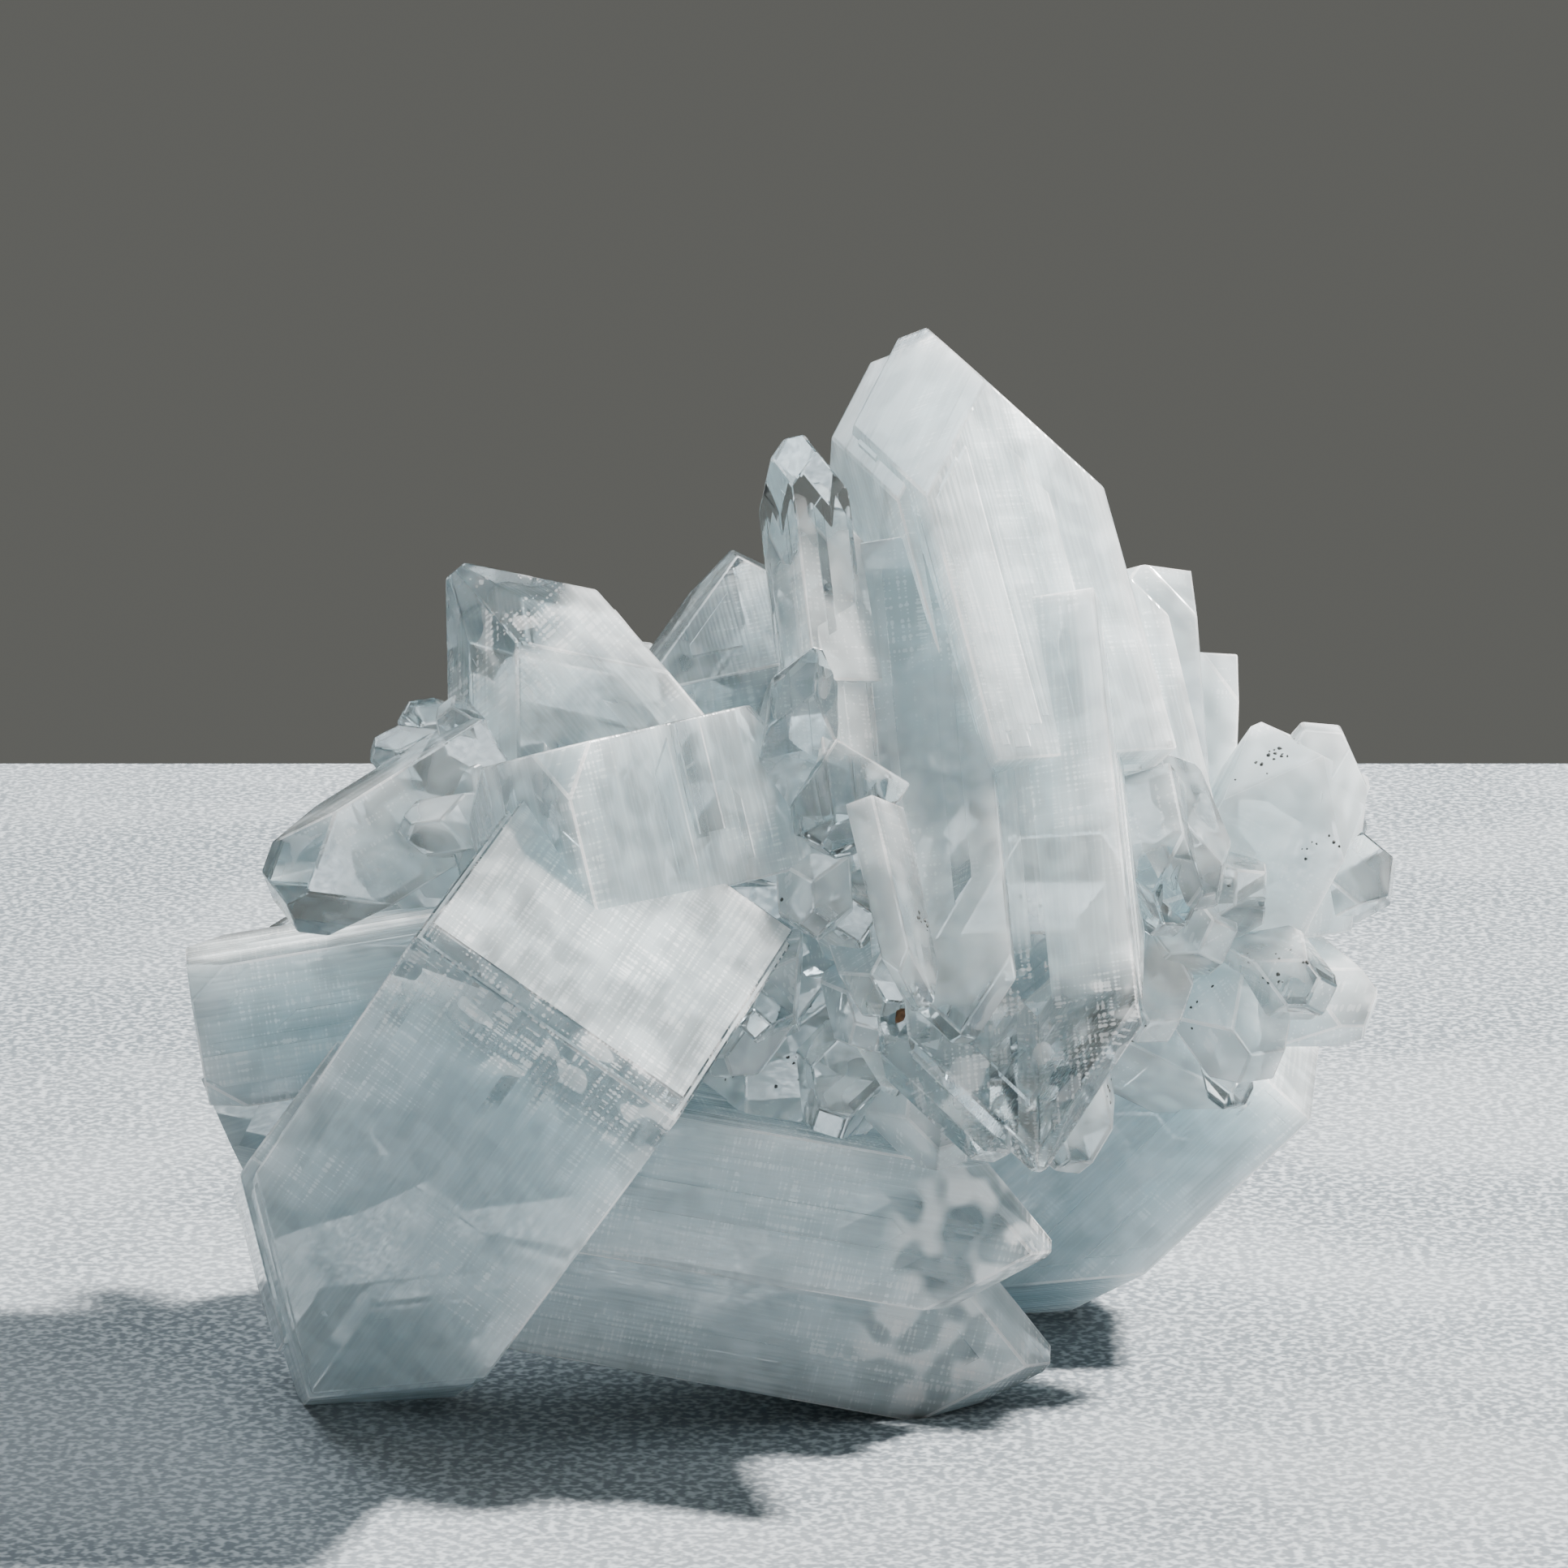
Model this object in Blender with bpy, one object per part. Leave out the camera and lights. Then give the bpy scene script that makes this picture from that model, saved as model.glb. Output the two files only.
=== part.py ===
"""Apophyllite crystal cluster, about 60 mm wide, as one closed faceted solid.

Apophyllite is tetragonal.  Each crystal is a square prism whose end is closed by a
four-sided pyramid, and the pyramid's faces sit over the prism's edges, so every prism
face ends in a point.  A small flat face, square to the long axis, cuts the tip.

The cluster is a hand-placed list of such crystals.  They grow out of each other, so
they are joined into a single solid, and the solid is cut flat at z = 0 where three of
its lowest crystals touch the table.

Lengths in the lists are millimetres; +Z is up and -Y is the front.
"""

import math
import random
from collections import namedtuple

import bmesh
import bpy
from mathutils import Matrix, Vector

MM = 0.001

# The angle between the long axis of a crystal and the normal of its pyramid faces.
PYRAMID_TILT = math.radians(60.4)

# Points closer together than this are one point.
WELD = 0.002

# The block that cuts the base flat; its top face is the table.
TABLE_BLOCK = Vector((200, 200, 50))

# A crystal is given by its sharp tip, before the flat face cuts it, the heading of that
# tip as (bearing, climb) in degrees, with bearing 0 along +X and 90 along +Y, the roll
# about its axis, and its sizes.  At roll 0 a prism face looks towards -Y.  `blunt` is
# how far down from the sharp tip the flat face lies, and `apex` is how far the tip
# stands off the middle of the prism.
Crystal = namedtuple(
    "Crystal", "name tip heading roll length across deep blunt apex", defaults=((0, 0),)
)

LARGE = (
    Crystal("spire", (6.1, 14, 53.3), (114, 55), 32, 27, 10, 10.6, 1.4),
    Crystal("spire left", (4.9, 14.3, 52.4), (114, 55), 32, 27, 9.5, 9.5, 1.8),
    Crystal("spire right", (10.5, 14.5, 46.5), (112, 57), 32, 24, 9, 10, 1.6),
    Crystal("fang", (11.8, -15.2, 15.9), (-82, -56), 9, 29.5, 11.2, 11, 0.5, (0, -4.7)),
    Crystal("fang back", (9.6, -13.4, 15.4), (-82, -56), 9, 33.5, 9.4, 9, 1.2, (0, -3.6)),
    Crystal("fang left", (8.3, -12.3, 21.2), (-82, -56), 9, 27, 5.6, 11, 0.8, (0, -4.7)),
    Crystal("wedge", (0.4, -6, 28.6), (-150, -54), 0, 6.4, 4.2, 4.4, 1.6),
    Crystal("slab", (-25.2, 5, -2), (132, -48), 7, 39.8, 14.2, 14.2, 3.2, (-1, 0)),
    Crystal("slab rim", (-25, 4.8, -1.7), (132, -48), 7, 38.3, 14.8, 14.8, 4.2, (-1, 0)),
    Crystal("slab heel", (-26.4, 6.2, 0.6), (132, -48), 7, 17, 13, 12, 2.4),
    Crystal("tower", (-11, -3, 46), (139, 72), 44, 19.5, 14, 8, 11.2),
    Crystal("foot upper", (13.4, -3, 8.9), (12, -13), 0, 27, 7.6, 8, 0.6, (0, -2.5)),
    Crystal("foot lower", (13.8, 1, 1.9), (12, -14), 0, 38, 7.8, 9, 0.9, (0, -2.5)),
    Crystal("tail", (5.4, 17, -1.2), (165, -46), 0, 26, 12, 10, 2),
    Crystal("left", (-36.8, 4, 17.4), (-174, -8), 0, 29, 7.4, 7, 7),
    Crystal("left lower", (-32.3, 6, 10.6), (-169, -23), 0, 24, 6.4, 7, 4),
    Crystal("crest left", (-17, 2, 42.8), (172, 50), 10, 18, 9.5, 8.5, 0.8),
    Crystal("crest", (-3.3, 14, 41.5), (103, 33), 10, 14, 10.5, 9.5, 3),
)

SMALL = (
    Crystal("needle", (0.2, 6, 48.9), (102, 59), 32, 20, 3.2, 3.6, 0.9),
    Crystal("needle low", (0.5, 5.5, 46.3), (108, 55), 32, 12, 3.8, 3.8, 0.6),
    Crystal("paw", (-26.6, -6, 26.1), (-159, -28), 0, 15, 5.4, 5, 2.2),
    Crystal("crest small", (1.4, -3, 39.6), (6, 75), 10, 10, 3.6, 3.6, 0.4),
    Crystal("shoulder", (17.7, 14, 43.2), (100, 68), 0, 18, 5, 5, 3.4),
    Crystal("shoulder low", (20.6, 12, 39.4), (80, 78), 0, 16, 4.5, 4.5, 3.2),
    Crystal("ear", (28, 6, 35.8), (12, 62), 0, 16, 6.8, 6, 3.8),
    Crystal("ear tip", (26.7, 5, 35.4), (0, 85), 45, 12, 3.6, 3.8, 1.7),
    Crystal("sparkle", (18.6, -5.4, 24.6), (-75, -52), 12, 9, 4.2, 4, 1.2),
    Crystal("sparkle low", (20.6, -4, 26), (-69, -39), 30, 9, 3.4, 3.2, 1),
    Crystal("east 1", (23.5, -1.5, 27), (-60, 15), 10, 12, 4.4, 4.2, 1.6),
    Crystal("east 2", (32, 5, 25.6), (-12, -4), 20, 14, 5.4, 5, 1.8),
    Crystal("east 3", (29.6, 7, 29.4), (10, 30), 0, 10, 3.2, 3, 1),
    Crystal("east 4", (27.1, -2.4, 21.2), (-50, -10), 30, 12, 3.6, 3.4, 1.4),
    Crystal("east 5", (30.8, 3, 18.8), (-14, -16), 15, 14, 4.6, 4.6, 1.8),
    Crystal("east 6", (24.1, -2, 16.7), (-62, -32), 0, 14, 5, 4.8, 1.8),
    Crystal("east 7", (22, -2.4, 24), (-55, -5), 25, 12, 4.6, 4.4, 1.6),
    Crystal("east 8", (22.5, 3, 13.8), (-60, -65), 0, 8, 2.4, 2.2, 0.8),
    Crystal("east 9", (18.6, -2.5, 18.6), (-70, -40), 10, 14, 5, 5, 1.6),
    Crystal("inner 1", (3, -7.5, 26.5), (-95, 5), 12, 14, 4.6, 4.4, 1.4),
    Crystal("inner 2", (3.4, -8.5, 20.5), (-100, -18), 30, 14, 4.2, 4, 1.2),
    Crystal("inner 3", (-1.8, -9, 21.5), (-95, -10), 0, 14, 3.6, 4, 1),
    Crystal("inner 4", (6.2, -7.5, 16.6), (-80, -38), 20, 14, 5.2, 5, 1.6),
    Crystal("inner 5", (-2.2, -6.5, 14.4), (-105, -28), 10, 16, 7, 6, 1.8),
    Crystal("inner 7", (8.4, -8.4, 14.2), (-64, -31), 15, 14, 4.4, 5, 1.4),
    Crystal("inner 8", (1.6, -7.5, 15.6), (-104, -26), 25, 14, 5.4, 5, 1.4),
    Crystal("inner 9", (-3.9, -8.6, 19.2), (-116, -19), 20, 14, 3.4, 3.6, 1),
    Crystal("inner 10", (1.2, -9, 26.4), (-90, -18), 5, 14, 3.6, 3.4, 1),
    Crystal("inner 11", (5, -9.6, 22.4), (-80, -16), 35, 14, 3, 3.2, 0.8),
    Crystal("inner 6", (14, -6.5, 13), (-80, -50), 10, 12, 4.4, 4, 1.2),
    Crystal("blade", (6.4, -12.5, 23), (-66, -58), 20, 11, 1.5, 3.6, 0.6),
    Crystal("brow 1", (-19.9, 3, 35.3), (180, 30), 0, 10, 2.8, 2.6, 0.8),
    Crystal("brow 2", (-21.4, 1, 33.6), (-170, 15), 20, 10, 3, 3, 0.8),
    Crystal("brow 3", (-22, -1, 31), (-165, 10), 0, 10, 3.4, 3, 1),
    Crystal("brow 4", (-17.6, -1, 36.6), (-160, 45), 30, 10, 3.6, 3.4, 1),
    Crystal("brow 5", (-16.4, -5.5, 33.4), (-115, 25), 15, 12, 4.2, 4, 1.2),
    Crystal("brow 7", (-16.6, -6.4, 31), (-129, 28), 25, 10, 3.4, 3.6, 1),
    Crystal("brow 8", (-12.6, -2.4, 37), (-97, 41), 10, 10, 4.4, 4, 1.2),
    Crystal("brow 9", (-19.2, -7, 31.2), (-141, 8), 30, 10, 2.8, 3, 0.8),
    Crystal("brow 10", (-8.2, -1, 38.2), (-100, 55), 35, 10, 4.6, 4.2, 1.2),
    Crystal("brow 6", (-19, -5, 29), (-125, 5), 0, 12, 4, 4, 1.4),
)

BACK = (
    Crystal("heart", (2, 9, 37), (100, 80), 20, 24, 13, 12, 7),
    Crystal("heart low", (10, 10, 8), (-20, -60), 10, 22, 12, 12, 6),
    Crystal("heart left", (-16, 6, 22), (178, -10), 30, 24, 12, 12, 5),
    Crystal("heart right", (22, 4, 24), (-5, 5), 35, 22, 12, 11, 4),
    Crystal("back 1", (2, 27, 34), (85, 24), 10, 28, 9.5, 9, 1.6),
    Crystal("back 2", (-17, 20, 36), (130, 34), 20, 28, 8.5, 8, 1.2),
    Crystal("back 3", (21, 24, 20), (55, -2), 0, 28, 8.5, 9, 2),
    Crystal("back 4", (-20, 21, 13), (138, -16), 10, 28, 9, 8, 1.6),
    Crystal("back 5", (1, 27, 14), (95, -18), 15, 26, 7, 7.5, 1.4),
    Crystal("back 6", (13, 24, 42), (72, 48), 30, 22, 5.5, 5, 0.8),
    Crystal("back 7", (-7, 25, 24), (105, 6), 25, 22, 5, 5.4, 1.2),
    Crystal("back 8", (12, 26, 27), (70, 10), 40, 22, 4.6, 5, 1),
    Crystal("back 9", (-24, 13, 26), (160, 8), 10, 22, 5.6, 5, 1.6),
    Crystal("back 10", (27, 15, 29), (32, 22), 0, 22, 5, 5.6, 1.2),
    Crystal("bud 1", (8, 26, 20.4), (80, -5), 20, 14, 3.4, 3.2, 0.8),
    Crystal("bud 2", (-3.4, 26, 29.4), (99, 15), 5, 14, 3, 3.2, 0.7),
    Crystal("bud 3", (-12.4, 24, 18.6), (118, -9), 30, 14, 3.6, 3.4, 0.9),
    Crystal("bud 4", (16.4, 25.2, 34.4), (64, 29), 15, 16, 3.4, 3.6, 0.8),
    Crystal("bud 5", (-9.6, 24.4, 34.6), (112, 26), 0, 16, 3.8, 3.4, 1),
    Crystal("bud 6", (7.4, 25, 8.2), (84, -31), 25, 14, 3.6, 3.8, 1),
    Crystal("bud 7", (21.6, 20.4, 9), (50, -33), 10, 16, 4.2, 3.8, 1),
    Crystal("bud 8", (26.2, 11.4, 11.6), (21, -29), 35, 14, 4, 4.2, 1.2),
    Crystal("bud 9", (-23.6, 17.6, 28), (144, 14), 20, 16, 3.4, 3.2, 0.9),
    Crystal("bud 10", (-27.6, 10.6, 21.6), (168, 0), 40, 12, 3, 3.4, 0.8),
)


# A large crystal grew as parallel blades, so each of its four sides carries some ribs.
# A rib stands a little proud of its side, ends a little lower than its crystal, and is
# cut at its ends by planes parallel to its crystal's.
RIBBED = {
    "spire": 4, "spire left": 2, "spire right": 2, "fang": 2, "fang back": 2,
    "tower": 2, "foot upper": 2, "foot lower": 2, "tail": 3, "left": 2, "left lower": 1,
    "crest left": 2, "crest": 2, "back 1": 3, "back 2": 3, "back 3": 3, "back 4": 3,
    "back 5": 2, "back 6": 1, "back 7": 1,
}
RIB_SEED = 7
RIB_WIDTH = (0.7, 2.6)
RIB_DEPTH = 2
RIB_PROUD = (0.07, 0.22)
RIB_DROP = (0.3, 7)
RIB_END = (0.2, 3)
RIB_REACH = 0.94
RIB_BLUNT = 0.1


def axes(crystal):
    """Return the crystal's own axes, z along its heading, as a 4 x 4 matrix at its tip."""
    bearing, climb = (math.radians(angle) for angle in crystal.heading)
    along = Vector((
        math.cos(climb) * math.cos(bearing),
        math.cos(climb) * math.sin(bearing),
        math.sin(climb),
    ))
    towards = Vector((0, -1, 0)) if abs(along.y) < 0.85 else Vector((0, 0, 1))
    front = (towards - along * towards.dot(along)).normalized()
    front.rotate(Matrix.Rotation(math.radians(crystal.roll), 3, along))
    side = (-front).cross(along)
    turn = Matrix((side, -front, along)).transposed().to_4x4()
    return Matrix.Translation(Vector(crystal.tip)) @ turn


def trim(shape, point, normal):
    """Cut away what lies beyond a plane and close the cut with one flat face."""
    everything = shape.verts[:] + shape.edges[:] + shape.faces[:]
    cut = bmesh.ops.bisect_plane(
        shape, geom=everything, dist=1e-6, plane_co=point, plane_no=normal, clear_outer=True
    )
    rim = [item for item in cut["geom_cut"] if isinstance(item, bmesh.types.BMEdge)]
    if rim:
        bmesh.ops.contextual_create(shape, geom=rim)


def grow(crystal):
    """Build one crystal as a bmesh in millimetres, in the cluster's frame."""
    shape = bmesh.new()
    bmesh.ops.create_cube(shape, size=1)
    size = Matrix.Diagonal((crystal.across, crystal.deep, crystal.length, 1))
    middle = Vector((-crystal.apex[0], -crystal.apex[1], -crystal.length / 2))
    bmesh.ops.transform(shape, matrix=Matrix.Translation(middle) @ size, verts=shape.verts)
    for turn in (45, 135, 225, 315):
        normal = Vector((math.sin(PYRAMID_TILT), 0, math.cos(PYRAMID_TILT)))
        normal.rotate(Matrix.Rotation(math.radians(turn), 3, "Z"))
        trim(shape, Vector(), normal)
    trim(shape, Vector((0, 0, -crystal.blunt)), Vector((0, 0, 1)))
    bmesh.ops.transform(shape, matrix=axes(crystal), verts=shape.verts)
    return shape


def grow_ribs(crystal, count, dice):
    """Return narrow copies of a crystal, set along its four sides."""
    made = []
    along = axes(crystal).to_3x3() @ Vector((0, 0, 1))
    for side in range(4):
        wide, thick = crystal.across, crystal.deep
        if side % 2:
            wide, thick = thick, wide
        for _ in range(count):
            span = dice.uniform(*RIB_WIDTH)
            slide = dice.uniform(-1, 1) * (wide - span) / 2 * RIB_REACH
            step = thick / 2 + dice.uniform(*RIB_PROUD) - RIB_DEPTH / 2
            drop = dice.uniform(*RIB_DROP)
            middle = ((slide, -step), (step, slide), (slide, step), (-step, slide))[side]
            sizes = (RIB_DEPTH, span) if side % 2 else (span, RIB_DEPTH)
            made.append(crystal._replace(
                name=crystal.name + " rib",
                tip=tuple(Vector(crystal.tip) - along * drop),
                length=crystal.length - drop - dice.uniform(*RIB_END),
                across=sizes[0],
                deep=sizes[1],
                blunt=max(RIB_BLUNT, crystal.blunt - drop + RIB_BLUNT),
                apex=(crystal.apex[0] - middle[0], crystal.apex[1] - middle[1]),
            ))
    return made


def all_crystals():
    """Return every crystal of the cluster, with the ribs of the large ones."""
    dice = random.Random(RIB_SEED)
    made = list(LARGE + SMALL + BACK)
    for crystal in LARGE + SMALL + BACK:
        made.extend(grow_ribs(crystal, RIBBED.get(crystal.name, 0), dice))
    return made


CRYSTALS = all_crystals()


def add_mesh(name, shape):
    """Turn a bmesh in millimetres into an object in metres."""
    bmesh.ops.scale(shape, vec=Vector((MM, MM, MM)), verts=shape.verts)
    mesh = bpy.data.meshes.new(name)
    shape.to_mesh(mesh)
    shape.free()
    item = bpy.data.objects.new(name, mesh)
    bpy.context.collection.objects.link(item)
    return item


def combine(target, tool, operation):
    """Apply an exact Boolean of `tool` to `target`, and delete `tool`."""
    modifier = target.modifiers.new(operation.lower(), "BOOLEAN")
    modifier.object = tool
    modifier.operation = operation
    modifier.solver = "EXACT"
    mesh = bpy.data.meshes.new_from_object(
        target.evaluated_get(bpy.context.evaluated_depsgraph_get())
    )
    target.modifiers.clear()
    target.data = mesh
    bpy.data.objects.remove(tool)


def table_cutter():
    """A block whose top face is the table."""
    shape = bmesh.new()
    bmesh.ops.create_cube(shape, size=1)
    bmesh.ops.scale(shape, vec=TABLE_BLOCK, verts=shape.verts)
    bmesh.ops.translate(shape, vec=Vector((0, 0, -TABLE_BLOCK.z / 2)), verts=shape.verts)
    return add_mesh("table cutter", shape)


def clean(item):
    """Weld the points that the joins left on top of each other."""
    shape = bmesh.new()
    shape.from_mesh(item.data)
    bmesh.ops.remove_doubles(shape, verts=shape.verts, dist=WELD * MM)
    bmesh.ops.dissolve_degenerate(shape, edges=shape.edges, dist=WELD * MM)
    bmesh.ops.triangulate(shape, faces=shape.faces)
    shape.to_mesh(item.data)
    shape.free()


def keep_outer_skin(item):
    """Fill the gaps sealed between crystals by deleting every skin but the outer one."""
    shape = bmesh.new()
    shape.from_mesh(item.data)
    unseen = set(shape.verts)
    skins = []
    while unseen:
        skin = set()
        front = [unseen.pop()]
        while front:
            vert = front.pop()
            skin.add(vert)
            near = {edge.other_vert(vert) for edge in vert.link_edges} & unseen
            unseen -= near
            front.extend(near)
        skins.append(skin)
    outer = max(skins, key=lambda skin: max(v.co.z for v in skin) - min(v.co.z for v in skin))
    inner = [vert for skin in skins if skin is not outer for vert in skin]
    bmesh.ops.delete(shape, geom=inner, context="VERTS")
    shape.to_mesh(item.data)
    shape.free()


def stand_on_origin(item):
    """Move the mesh so that its box stands on the origin by the middle of its base."""
    corners = [Vector(corner) for corner in item.bound_box]
    low = Vector(min(corner[axis] for corner in corners) for axis in range(3))
    high = Vector(max(corner[axis] for corner in corners) for axis in range(3))
    item.data.transform(Matrix.Translation(-Vector((*((low + high) / 2).xy, low.z))))


def crystal_material():
    """Pale, icy blue-grey crystal."""
    material = bpy.data.materials.new("apophyllite")
    material.use_nodes = True
    shader = material.node_tree.nodes["Principled BSDF"]
    shader.inputs["Base Color"].default_value = (0.55, 0.66, 0.69, 1)
    shader.inputs["Roughness"].default_value = 0.12
    shader.inputs["Metallic"].default_value = 0
    return material


def build():
    for item in list(bpy.context.scene.objects):
        bpy.data.objects.remove(item)
    cluster = add_mesh("apophyllite_cluster", grow(CRYSTALS[0]))
    for crystal in CRYSTALS[1:]:
        combine(cluster, add_mesh(crystal.name, grow(crystal)), "UNION")
    combine(cluster, table_cutter(), "DIFFERENCE")
    keep_outer_skin(cluster)
    clean(cluster)
    stand_on_origin(cluster)
    cluster.data.materials.clear()
    cluster.data.materials.append(crystal_material())


build()
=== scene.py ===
# %% [markdown]
# # An apophyllite crystal cluster
#
# The object is a hand-sized cluster of pale, icy crystals that grew into each other.
# Each crystal is a square prism closed by a low four-sided pyramid, partly clear and
# partly clouded, with fine growth lines along its sides.  The scene starts from the
# measured solid of the cluster, which is called the frame, and everything below lies in
# the frame's own metres: +Z is up and -Y is the front.

# %% Load the frame
import math
import random
from collections import namedtuple

import bmesh
import bpy
from mathutils import Matrix, Vector


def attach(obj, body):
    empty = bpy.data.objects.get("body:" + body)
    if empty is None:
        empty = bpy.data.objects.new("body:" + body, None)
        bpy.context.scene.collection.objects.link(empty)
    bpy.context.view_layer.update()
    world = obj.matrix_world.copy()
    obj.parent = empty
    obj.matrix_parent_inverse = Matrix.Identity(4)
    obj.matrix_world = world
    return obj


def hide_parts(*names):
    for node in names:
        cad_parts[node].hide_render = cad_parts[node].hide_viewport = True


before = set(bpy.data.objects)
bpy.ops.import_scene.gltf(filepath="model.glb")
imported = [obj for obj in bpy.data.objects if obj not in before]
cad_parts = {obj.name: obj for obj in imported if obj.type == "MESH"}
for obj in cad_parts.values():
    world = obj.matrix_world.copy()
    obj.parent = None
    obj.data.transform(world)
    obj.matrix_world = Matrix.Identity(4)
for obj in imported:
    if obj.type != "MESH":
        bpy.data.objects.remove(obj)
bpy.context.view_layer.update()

MM = 0.001

# %% [markdown]
# ## Where we look from
#
# A long lens from a little above the table keeps the prisms' edges parallel, as the eye
# sees a small thing held at arm's length.  The camera is placed by a point to look at, a
# distance and a climb, which is easier to read than a position and three angles.

# %% The camera
LOOK_AT = Vector((-0.29, -2.26, 31.86)) * MM
DISTANCE = 300 * MM
CLIMB = math.radians(12)

backwards = Vector((0, -math.cos(CLIMB), math.sin(CLIMB)))
bpy.ops.object.camera_add(location=LOOK_AT + backwards * DISTANCE)
camera = bpy.context.object
camera.name = "camera"
camera.rotation_euler = (math.pi / 2 - CLIMB, 0, 0)
camera.data.lens = 140
camera.data.sensor_width = 36
camera.data.clip_start = 0.01
camera.data.clip_end = 10
bpy.context.scene.camera = camera
print("camera at, mm:", [round(v / MM, 1) for v in camera.location])

# %% [markdown]
# ## A short way to write materials
#
# A material is a graph of nodes, and most of the graph is plain arithmetic.  The class
# below wraps one socket and overloads + - *, so `1 - mask * 0.4` adds the Math nodes
# for us.  Every other node comes from one method, which takes the node's type, its
# settings and what goes into its sockets.

# %% The socket class and the node method
class Value:
    """One output socket, which can be used in arithmetic."""

    def __init__(self, sheet, socket):
        self.sheet = sheet
        self.socket = socket

    def math(self, operation, *others):
        return self.sheet.node("ShaderNodeMath", {"operation": operation}, self, *others)

    def __add__(self, other):
        return self.math("ADD", other)

    def __sub__(self, other):
        return self.math("SUBTRACT", other)

    def __mul__(self, other):
        return self.math("MULTIPLY", other)

    def __rsub__(self, other):
        return self.sheet.node("ShaderNodeMath", {"operation": "SUBTRACT"}, other, self)

    __radd__ = __add__
    __rmul__ = __mul__

    def above(self, low, high):
        """0 below `low`, 1 above `high`, with a smooth rise between them."""
        settings = {"interpolation_type": "SMOOTHSTEP"}
        return self.sheet.node("ShaderNodeMapRange", settings, self, low, high, 0, 1)

    def clamp(self):
        return self.sheet.node("ShaderNodeClamp", {}, self, 0, 1)

    def other(self, name):
        """Another output of the same node."""
        return Value(self.sheet, self.socket.node.outputs[name])


class Sheet:
    """The node sheet of one material."""

    def __init__(self, name):
        self.material = bpy.data.materials.new(name)
        self.material.use_nodes = True
        self.tree = self.material.node_tree
        self.tree.nodes.clear()
        self.output = self.tree.nodes.new("ShaderNodeOutputMaterial")

    def node(self, kind, settings, *values, output=0, **named):
        """Add a node: settings first, then its sockets by place or by name."""
        made = self.tree.nodes.new(kind)
        for key, setting in settings.items():
            if key == "stops":
                ramp = made.color_ramp
                while len(ramp.elements) < len(setting):
                    ramp.elements.new(0.5)
                for element, (place, colour) in zip(ramp.elements, setting):
                    element.position = place
                    element.color = colour
            else:
                setattr(made, key, setting)
        sockets = list(zip(made.inputs, values))
        sockets += [(made.inputs[key.replace("_", " ")], v) for key, v in named.items()]
        for socket, value in sockets:
            if isinstance(value, Value):
                self.tree.links.new(value.socket, socket)
            elif value is not None:
                socket.default_value = value
        return Value(self, made.outputs[output])

    def uv(self, layer):
        return self.node("ShaderNodeUVMap", {"uv_map": layer})

    def place(self):
        return self.node("ShaderNodeTexCoord", {}, output="Object")

    def noise(self, vector, scale, detail=3, roughness=0.5, space="3D"):
        return self.node(
            "ShaderNodeTexNoise", {"noise_dimensions": space},
            Vector=vector, Scale=scale, Detail=detail, Roughness=roughness,
        )

    def stretch(self, vector, x, y, z=1.0):
        return self.node("ShaderNodeMapping", {}, Vector=vector, Scale=(x, y, z))

    def blend(self, mask, low, high):
        """Mix two colours by a mask."""
        return self.node(
            "ShaderNodeMix", {"data_type": "RGBA"}, mask, None, None, None, None, None,
            low, high, output=2,
        )

    def surface(self, shader):
        self.tree.links.new(shader.socket, self.output.inputs["Surface"])
        return self.material

    def volume(self, shader):
        self.tree.links.new(shader.socket, self.output.inputs["Volume"])


print("node helpers ready")

# %% [markdown]
# ## The table and the light
#
# The cluster stands on a pale, slightly mottled table top in front of a plain dark wall.
# One strong lamp stands to the right, a little behind the cluster: light that comes
# through the crystals shows that they are clear, which light from the front would hide.

# %% The table top
TABLE_HALF = 155 * MM

bpy.ops.object.select_all(action="DESELECT")
bpy.ops.mesh.primitive_plane_add(size=2 * TABLE_HALF)
table = bpy.context.object
table.name = "table_top"

sheet = Sheet("pale stone table")
where = sheet.place()
clouds = sheet.noise(where, 35, detail=2, roughness=0.6, space="2D")
grain = sheet.noise(where, 2000, detail=1, roughness=0.6, space="2D")
tone = sheet.blend(clouds.above(0.35, 0.7), (0.15, 0.175, 0.195, 1), (0.25, 0.275, 0.295, 1))
tone = sheet.blend(grain.above(0.38, 0.72) * 0.7, tone, (0.62, 0.66, 0.69, 1))
stone = sheet.node(
    "ShaderNodeBsdfPrincipled", {}, Base_Color=tone, Roughness=0.75,
)
table.data.materials.append(sheet.surface(stone))
print("table top", round(2 * TABLE_HALF / MM), "mm across")

# %% The wall behind and the lamps
WALL = (0.122, 0.123, 0.114, 1)

world = bpy.data.worlds.new("dark wall")
bpy.context.scene.world = world
world.use_nodes = True
world.node_tree.nodes["Background"].inputs["Color"].default_value = WALL


def lamp(name, towards, distance, size, power, colour):
    """An area lamp that shines at the middle of the cluster."""
    heading = Vector(towards).normalized()
    middle = Vector((0, 0, 25 * MM))
    bpy.ops.object.light_add(type="AREA", location=middle + heading * distance)
    item = bpy.context.object
    item.name = name
    item.rotation_euler = heading.to_track_quat("Z", "Y").to_euler()
    item.data.shape = "DISK"
    item.data.size = size
    item.data.energy = power
    item.data.color = colour
    return item


lamp("key lamp", (0.8, 0.14, 1), 0.8, 0.06, 28, (1, 0.985, 0.96))
lamp("sky lamp", (-0.5, 0.5, 1.0), 0.7, 0.5, 3.4, (0.84, 0.94, 1))

# %% [markdown]
# ## One crystal
#
# An apophyllite crystal is a square prism.  The four faces of the pyramid that closes
# it sit over the prism's edges, so every prism face ends in a point, and a small flat
# face often cuts the tip.  That is a cube, cut by five planes.  Each crystal is written
# as its sharp tip, the heading of that tip as (bearing, climb), its roll and its sizes,
# all in millimetres and degrees.

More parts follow.
